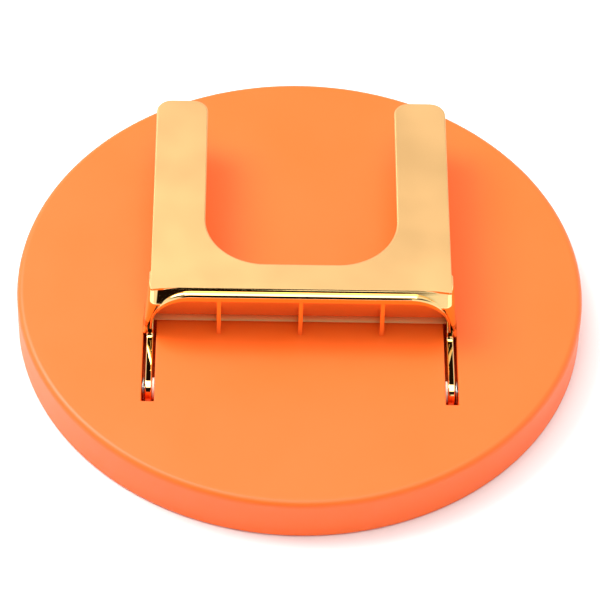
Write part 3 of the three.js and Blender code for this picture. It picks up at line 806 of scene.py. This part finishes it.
def stand():
    inner = TOP_HALF_WIDTH - 1 * MM
    under = STAND_TOP_Z - PLATE_THICKNESS + 0.5 * MM
    mid_half = (ARCH_INNER_HALF_WIDTH + ARCH_OUTER_HALF_WIDTH) / 2
    mid_top = (ARCH_INNER_TOP_Z + ARCH_OUTER_TOP_Z) / 2
    mid_radius = (ARCH_INNER_RADIUS + ARCH_OUTER_RADIUS) / 2
    strap_back = STRAP_FRONT_Y + STRAP_DEPTH
    block = combine(
        front_block(),
        [
            opening("front_opening", mid_half, mid_top, mid_radius,
                    STRAP_FRONT_Y - MM, strap_back - 0.4 * MM),
            opening("rear_opening", REAR_OPENING_HALF_WIDTH, STAND_TOP_Z - PLATE_THICKNESS + 0.2 * MM,
                    REAR_OPENING_RADIUS, strap_back - 0.5 * MM, LEG_REAR_Y + MM),
        ],
        "DIFFERENCE",
    )
    wall = bar("wall", (-inner, WALL_FRONT_Y, FOOT_Z), (inner, WALL_FRONT_Y + WALL_THICKNESS, under))
    # The band and the ribs start a little inside the wall's own planes, so that the joins stay clean.
    sunk = 0.05 * MM
    band = slab("band", [
        (WALL_FRONT_Y + 0.7 * MM, FOOT_Z + sunk),
        (WALL_FRONT_Y + 0.7 * MM, FOOT_Z + BAND_HEIGHT),
        (WALL_FRONT_Y, FOOT_Z + BAND_HEIGHT),
        (WALL_FRONT_Y - BAND_PROUD, FOOT_Z + BAND_TOE),
        (WALL_FRONT_Y - BAND_PROUD, FOOT_Z + sunk),
    ], sunk - inner, inner - sunk, axis="X")
    rib_near = STRAP_FRONT_Y + BAY_RIB_SETBACK
    rib_top = ARCH_INNER_TOP_Z + BAY_RIB_RISE
    rib_far = WALL_FRONT_Y + 0.6 * MM
    bay_rib = slab("bay_rib", [
        (rib_near, FOOT_Z + 2 * sunk),
        (rib_far, FOOT_Z + 2 * sunk),
        (rib_far, under),
        (strap_back - 0.6 * MM, under),
        (strap_back - 0.6 * MM, rib_top),
        (rib_near, rib_top),
    ], -BAY_RIB_THICKNESS / 2, BAY_RIB_THICKNESS / 2, axis="X",
        low_edge=STAND_INNER_EDGE, high_edge=STAND_INNER_EDGE, steps=4)
    bay_ribs = grow("bay_ribs", grid_of_copies, {
        "Pattern": bay_rib, "Columns": 3, "Rows": 1, "Width": 2 * BAY_RIB_PITCH, "Depth": 0.0,
        "Centre": (0, 0, 0), "Finish": polished_gold_plate,
    })
    bpy.data.objects.remove(bay_rib)
    body = combine(
        top_plate(),
        [block, strap(), wall, band, bay_ribs, gusset(-1), gusset(1), lug(-1), lug(1)],
        "UNION",
    )
    return smooth(body)


def satin_where_blasted(piece):
    """The plate's top and the band's slope are blasted; everything else stays polished."""
    piece.data.materials.append(satin_gold_plate)
    for face in piece.data.polygons:
        centre = face.center
        on_plate = centre.z > STAND_TOP_Z - PLATE_EDGE_RADIUS - 0.05 * MM
        on_plate = on_plate and centre.y > APRON_TOP_Y - APRON_DROOP
        on_plate = on_plate and (face.normal.z > 0.6 or centre.y > APRON_TOP_Y + PLATE_CORE_SETBACK)
        on_band = WALL_FRONT_Y - BAND_PROUD < centre.y < WALL_FRONT_Y and centre.z < FOOT_Z + BAND_HEIGHT
        on_band = on_band and 0.2 < face.normal.z < 0.6
        face.material_index = 1 if on_plate or on_band else 0


gold_stand = coat(stand(), polished_gold_plate, "stand", "gold", "stand")
satin_where_blasted(gold_stand)


# ================= mirror, tray and tape =================
def glass():
    seam = 0.5 * MM
    profile = [
        (GLASS_RADIUS - seam, glass_low.z),
        (GLASS_RADIUS - seam / 3, glass_low.z + seam / 3),
        (GLASS_RADIUS, glass_low.z + seam),
        (GLASS_RADIUS, glass_high.z - seam / 2),
        (GLASS_RADIUS - seam / 2, glass_high.z),
    ]
    piece = smooth(turned("silvered_disc", profile, 256), 20)
    coat(piece, silvered_glass, "mirror", "mirror", "mirror_glass")
    piece.data.materials.append(ground_glass_edge)
    for face in piece.data.polygons:
        face.material_index = 1 if abs(face.normal.z) < 0.95 else 0


def countersink(name, low):
    """A flat screw head's seat, opening downwards, with the hole above it."""
    spare = 0.3 * MM
    profile = [
        (SCREW_HEAD_RADIUS + spare, low - 0.2 * MM),
        (SCREW_HEAD_RADIUS + spare, low),
        (PILOT_RADIUS, low + SCREW_HEAD_DEPTH),
        (PILOT_RADIUS, low + 4 * MM),
    ]
    return turned(name, profile, 40)


def tray():
    edge = 0.3 * MM
    outline = arc((0, 0), tray_high.x, 0, 360 - 360 / 256, 255)
    plate = slab("tray_disc", outline, tray_low.z, tray_high.z, low_edge=edge, high_edge=edge, steps=3)
    seat = countersink("seat", tray_low.z)
    seats = grow("seats", circle_of_copies, {
        "Pattern": seat, "Count": TRAY_SCREW_COUNT, "Radius": TRAY_SCREW_CIRCLE,
        "Phase": TRAY_SCREW_PHASE, "Height": 0.0, "Finish": plain_orange_abs,
    })
    combine(plate, [seats], "DIFFERENCE")
    bpy.data.objects.remove(seat)
    coat(smooth(plate), plain_orange_abs, "mirror", "inner_plastic", "mirror_tray")


glass()
tray()
for node in ("foam_tape_ring", "foam_tape_centre"):
    frame["nodes"][node].data.materials.clear()
    frame["nodes"][node].data.materials.append(foam_tape)


# ================= screws =================
def screw():
    """A flat-head screw, point up, with a helical thread and a cross recess."""
    steps = 24
    rows_per_turn = 8
    start = SCREW_HEAD_DEPTH + 0.3 * MM
    tip = SCREW_LENGTH - 0.8 * MM
    rings = []

    def ring(radius, z):
        angles = [2 * math.pi * i / steps for i in range(steps)]
        return [(radius * math.cos(a), radius * math.sin(a), z) for a in angles]

    for radius, z in (
        (SCREW_HEAD_RADIUS - 0.1 * MM, 0),
        (SCREW_HEAD_RADIUS, 0.08 * MM),
        (SCREW_HEAD_RADIUS, 0.2 * MM),
        (SCREW_SHANK_RADIUS, SCREW_HEAD_DEPTH),
    ):
        rings.append(ring(radius, z))
    rows = round((tip - start) / SCREW_PITCH * rows_per_turn)
    for row in range(rows + 1):
        z = start + (tip - start) * row / rows
        fade = min(1, row / rows_per_turn, (rows - row) / rows_per_turn)
        points = []
        for i in range(steps):
            phase = (row / rows_per_turn - i / steps) % 1
            height = max(0, 1 - 2.4 * abs(phase - 0.5)) * fade
            radius = SCREW_SHANK_RADIUS + (SCREW_CREST_RADIUS - SCREW_SHANK_RADIUS) * height
            angle = 2 * math.pi * i / steps
            points.append((radius * math.cos(angle), radius * math.sin(angle), z))
        rings.append(points)
    rings.append(ring(SCREW_SHANK_RADIUS * 0.5, SCREW_LENGTH - 0.2 * MM))
    rings.append(ring(SCREW_SHANK_RADIUS * 0.15, SCREW_LENGTH))
    body = skin("screw", rings)
    half, thin, deep = 1.4 * MM, 0.3 * MM, 0.8 * MM
    cross = [
        bar("cross", (-half, -thin, -MM), (half, thin, deep), 0.1 * MM),
        bar("cross", (-thin, -half, -MM), (thin, half, deep), 0.1 * MM),
    ]
    return smooth(combine(body, cross, "DIFFERENCE"), 40)


pattern = screw()
tray_screws = grow("tray_screws", circle_of_copies, {
    "Pattern": pattern, "Count": TRAY_SCREW_COUNT, "Radius": TRAY_SCREW_CIRCLE,
    "Phase": TRAY_SCREW_PHASE, "Height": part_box("tray_screw_1")[0].z, "Finish": zinc_plated_steel,
})
near_y, far_y = retainer_screw_ys()
retainer_screws = grow("retainer_screws", grid_of_copies, {
    "Pattern": pattern, "Columns": 2, "Rows": 2,
    "Width": SLOT_INNER_X + SLOT_OUTER_X, "Depth": far_y - near_y,
    "Centre": (0, (near_y + far_y) / 2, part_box("retainer_screw_left_1")[0].z), "Finish": zinc_plated_steel,
})
bpy.data.objects.remove(pattern)
coat(tray_screws, zinc_plated_steel, "mirror", "steel",
     *[f"tray_screw_{i + 1}" for i in range(TRAY_SCREW_COUNT)])
coat(retainer_screws, zinc_plated_steel, "mirror", "steel",
     *[f"retainer_screw_{word}_{i}" for word in ("left", "right") for i in (1, 2)])


# ================= hinge pieces =================
def across(piece, x):
    """Turns a piece made about Z so that it lies along X on the pivot, with its middle at x."""
    piece.data.transform(Matrix.Translation((x, pivot.y, pivot.z)) @ Matrix.Rotation(math.pi / 2, 4, "Y"))
    return piece


def hinge_pin(word, side):
    radius = (pin_high.z - pin_low.z) / 2
    half = (pin_high.x - pin_low.x) / 2
    edge = 0.3 * MM
    profile = (
        [(radius * 0.2, -half)]
        + arc((radius - edge, edge - half), edge, -90, 0, 4)
        + arc((radius - edge, half - edge), edge, 0, 90, 4)
        + [(radius * 0.2, half)]
    )
    middle = side * (pin_low.x + pin_high.x) / 2
    piece = across(smooth(turned(f"pin_{word}", profile, 48)), middle)
    coat(piece, zinc_plated_steel, "mirror", "steel", f"hinge_pin_{word}")


def washer(name, low, high, side, wave, material, slot, node):
    """A flat ring with rounded rims, bent into three waves round its axis where it is a spring."""
    outer = (high.z - low.z) / 2
    thick = (high.x - low.x) - 2 * wave
    edge = min(0.15 * MM, thick / 4)
    half = thick / 2
    profile = (
        arc((WASHER_BORE_RADIUS + edge, edge - half), edge, 180, 270, 3)
        + arc((outer - edge, edge - half), edge, -90, 0, 3)
        + arc((outer - edge, half - edge), edge, 0, 90, 3)
        + arc((WASHER_BORE_RADIUS + edge, half - edge), edge, 90, 180, 3)
    )
    piece = turned(name, profile, 64, capped=False)
    for vertex in piece.data.vertices:
        turn = math.atan2(vertex.co.y, vertex.co.x)
        vertex.co.z += wave * math.sin(3 * turn)
    across(smooth(piece), side * (low.x + high.x) / 2)
    coat(piece, material, "mirror", slot, node)


def retainer(word, side):
    """The strip that closes a hinge box from inside, with two posts under the pin and two screw seats."""
    centre = side * (retainer_low.x + retainer_high.x) / 2
    radius = (retainer_high.x - retainer_low.x) / 2
    plate_top = retainer_low.z + 1.6 * MM
    outline = (
        arc((centre, retainer_high.y - radius), radius, 0, 180, 24)
        + arc((centre, retainer_low.y + radius), radius, 180, 360, 24)
    )
    edge = 0.25 * MM
    name = f"retainer_{word}"
    plate = slab(name, outline, retainer_low.z, plate_top, low_edge=edge, high_edge=edge, steps=3)
    half = 0.8 * MM
    reach = 1.5 * MM
    posts = [
        bar("post", (side * x - half, pivot.y - reach, retainer_low.z + 0.5 * MM),
            (side * x + half, pivot.y + reach, retainer_high.z), 0.2 * MM)
        for x in (SLOT_INNER_X - BOX_WALL / 2, SLOT_OUTER_X + BOX_WALL / 2)
    ]
    combine(plate, posts, "UNION")
    seats = []
    for y in retainer_screw_ys():
        seat = countersink("seat", retainer_low.z)
        seat.data.transform(Matrix.Translation((centre, y, 0)))
        seats.append(seat)
    combine(plate, seats, "DIFFERENCE")
    coat(smooth(plate), plain_orange_abs, "mirror", "inner_plastic", f"pin_retainer_{word}")


for side, word in ((-1, "left"), (1, "right")):
    hinge_pin(word, side)
    washer(f"nylon_washer_{word}", friction_low, friction_high, side, 0.0, natural_nylon, "nylon",
           f"friction_washer_{word}")
    washer(f"wave_washer_{word}", spring_low, spring_high, side, SPRING_WAVE, zinc_plated_steel, "steel",
           f"spring_washer_{word}")
    retainer(word, side)


# ================= studio =================
def floor():
    piece = turned("studio_floor", [(FLOOR_RADIUS, -2 * MM), (FLOOR_RADIUS, -0.02 * MM)], 96)
    material = bpy.data.materials.new("white_paper")
    material.use_nodes = True
    paper = material.node_tree.nodes["Principled BSDF"]
    paper.inputs["Base Color"].default_value = linear("#F4F4F4")
    paper.inputs["Roughness"].default_value = 0.9
    piece.data.materials.append(material)


def dome():
    """A soft white tent: open and dark low in front, and dark over one small area high behind the object,
    which the stand's flat plate mirrors. The camera itself sees plain white."""
    world = bpy.data.worlds.new("studio")
    bpy.context.scene.world = world
    world.use_nodes = True
    tree = world.node_tree
    tree.nodes.clear()
    direction = add(tree, "ShaderNodeTexCoord").outputs["Generated"]
    axes = add(tree, "ShaderNodeSeparateXYZ", {}, {0: direction}).outputs

    def ramp(axis, low, high):
        return add(
            tree,
            "ShaderNodeMapRange",
            {"interpolation_type": "SMOOTHSTEP"},
            {"Value": axes[axis], "From Min": low, "From Max": high, "To Min": 0.0, "To Max": 1.0},
        ).outputs[0]

    def brighter(first, second):
        return add(tree, "ShaderNodeMath", {"operation": "MAXIMUM"}, {0: first, 1: second}).outputs[0]

    overhead = ramp("Z", 0.80, 0.88)
    sides = brighter(ramp("X", -0.20, -0.34), ramp("X", 0.045, 0.058))
    low = ramp("Z", 0.60, 0.45)
    low_sides = add(tree, "ShaderNodeMath", {"operation": "MULTIPLY"}, {0: sides, 1: low}).outputs[0]
    behind = ramp("Y", -0.45, -0.15)
    bright = brighter(brighter(overhead, behind), low_sides)
    towards = add(
        tree, "ShaderNodeVectorMath", {"operation": "DOT_PRODUCT"}, {0: direction, 1: DARK_AREA_DIRECTION}
    ).outputs["Value"]
    outside = add(
        tree,
        "ShaderNodeMapRange",
        {"interpolation_type": "SMOOTHSTEP"},
        {"Value": towards, "From Min": DARK_AREA_CORE, "From Max": DARK_AREA_RIM,
         "To Min": 0.0, "To Max": 1.0},
    ).outputs[0]
    lit = add(tree, "ShaderNodeMath", {"operation": "MULTIPLY"}, {0: bright, 1: outside}).outputs[0]
    tent = add(tree, "ShaderNodeMix", {"data_type": "RGBA"},
               {0: lit, 6: linear("#1A0F0A"), 7: linear("#FFFFFF")})
    tent_light = add(tree, "ShaderNodeBackground", {}, {"Color": tent.outputs[2], "Strength": TENT_LIGHT})
    white = add(tree, "ShaderNodeBackground", {}, {"Color": linear("#FFFFFF"), "Strength": 1.0})
    seen = add(tree, "ShaderNodeLightPath").outputs["Is Camera Ray"]
    both = add(tree, "ShaderNodeMixShader", {}, {0: seen, 1: tent_light.outputs[0], 2: white.outputs[0]})
    add(tree, "ShaderNodeOutputWorld", {}, {"Surface": both.outputs[0]})


def softbox(name, azimuth, elevation, distance, width, height, power):
    """A rectangular softbox aimed at the object. Azimuth 0 is in front of it, towards -Y."""
    light = bpy.data.lights.new(name, "AREA")
    light.shape = "RECTANGLE"
    light.size, light.size_y = width, height
    light.energy = power
    lamp = bpy.data.objects.new(name, light)
    a, e = math.radians(azimuth), math.radians(elevation)
    away = Vector((math.sin(a) * math.cos(e), -math.cos(a) * math.cos(e), math.sin(e)))
    lamp.location = away * distance
    lamp.rotation_mode = "QUATERNION"
    lamp.rotation_quaternion = away.to_track_quat("Z", "Y")
    lamp.visible_camera = False
    bpy.context.scene.collection.objects.link(lamp)


def camera():
    data = bpy.data.cameras.new("camera")
    data.lens = CAMERA_LENS
    data.sensor_width = CAMERA_SENSOR
    data.clip_start, data.clip_end = 0.05, 20
    lens = bpy.data.objects.new("camera", data)
    forward = Vector((
        math.sin(CAMERA_YAW) * math.cos(CAMERA_ELEVATION),
        math.cos(CAMERA_YAW) * math.cos(CAMERA_ELEVATION),
        -math.sin(CAMERA_ELEVATION),
    ))
    right = Vector((math.cos(CAMERA_YAW), -math.sin(CAMERA_YAW), 0))
    up = right.cross(forward)
    tilted_right = right * math.cos(CAMERA_ROLL) + up * math.sin(CAMERA_ROLL)
    tilted_up = up * math.cos(CAMERA_ROLL) - right * math.sin(CAMERA_ROLL)
    turn = Matrix((tilted_right, tilted_up, -forward)).transposed().to_4x4()
    lens.matrix_world = Matrix.Translation(CAMERA_TARGET - forward * CAMERA_DISTANCE) @ turn
    bpy.context.scene.collection.objects.link(lens)
    bpy.context.scene.camera = lens


floor()
dome()
softbox("key_softbox", azimuth=-118, elevation=52, distance=1.5, width=0.8, height=0.8, power=20)
softbox("overhead_softbox", azimuth=0, elevation=88, distance=1.5, width=1.0, height=1.6, power=12)
camera()
bpy.context.scene.view_settings.view_transform = "Standard"
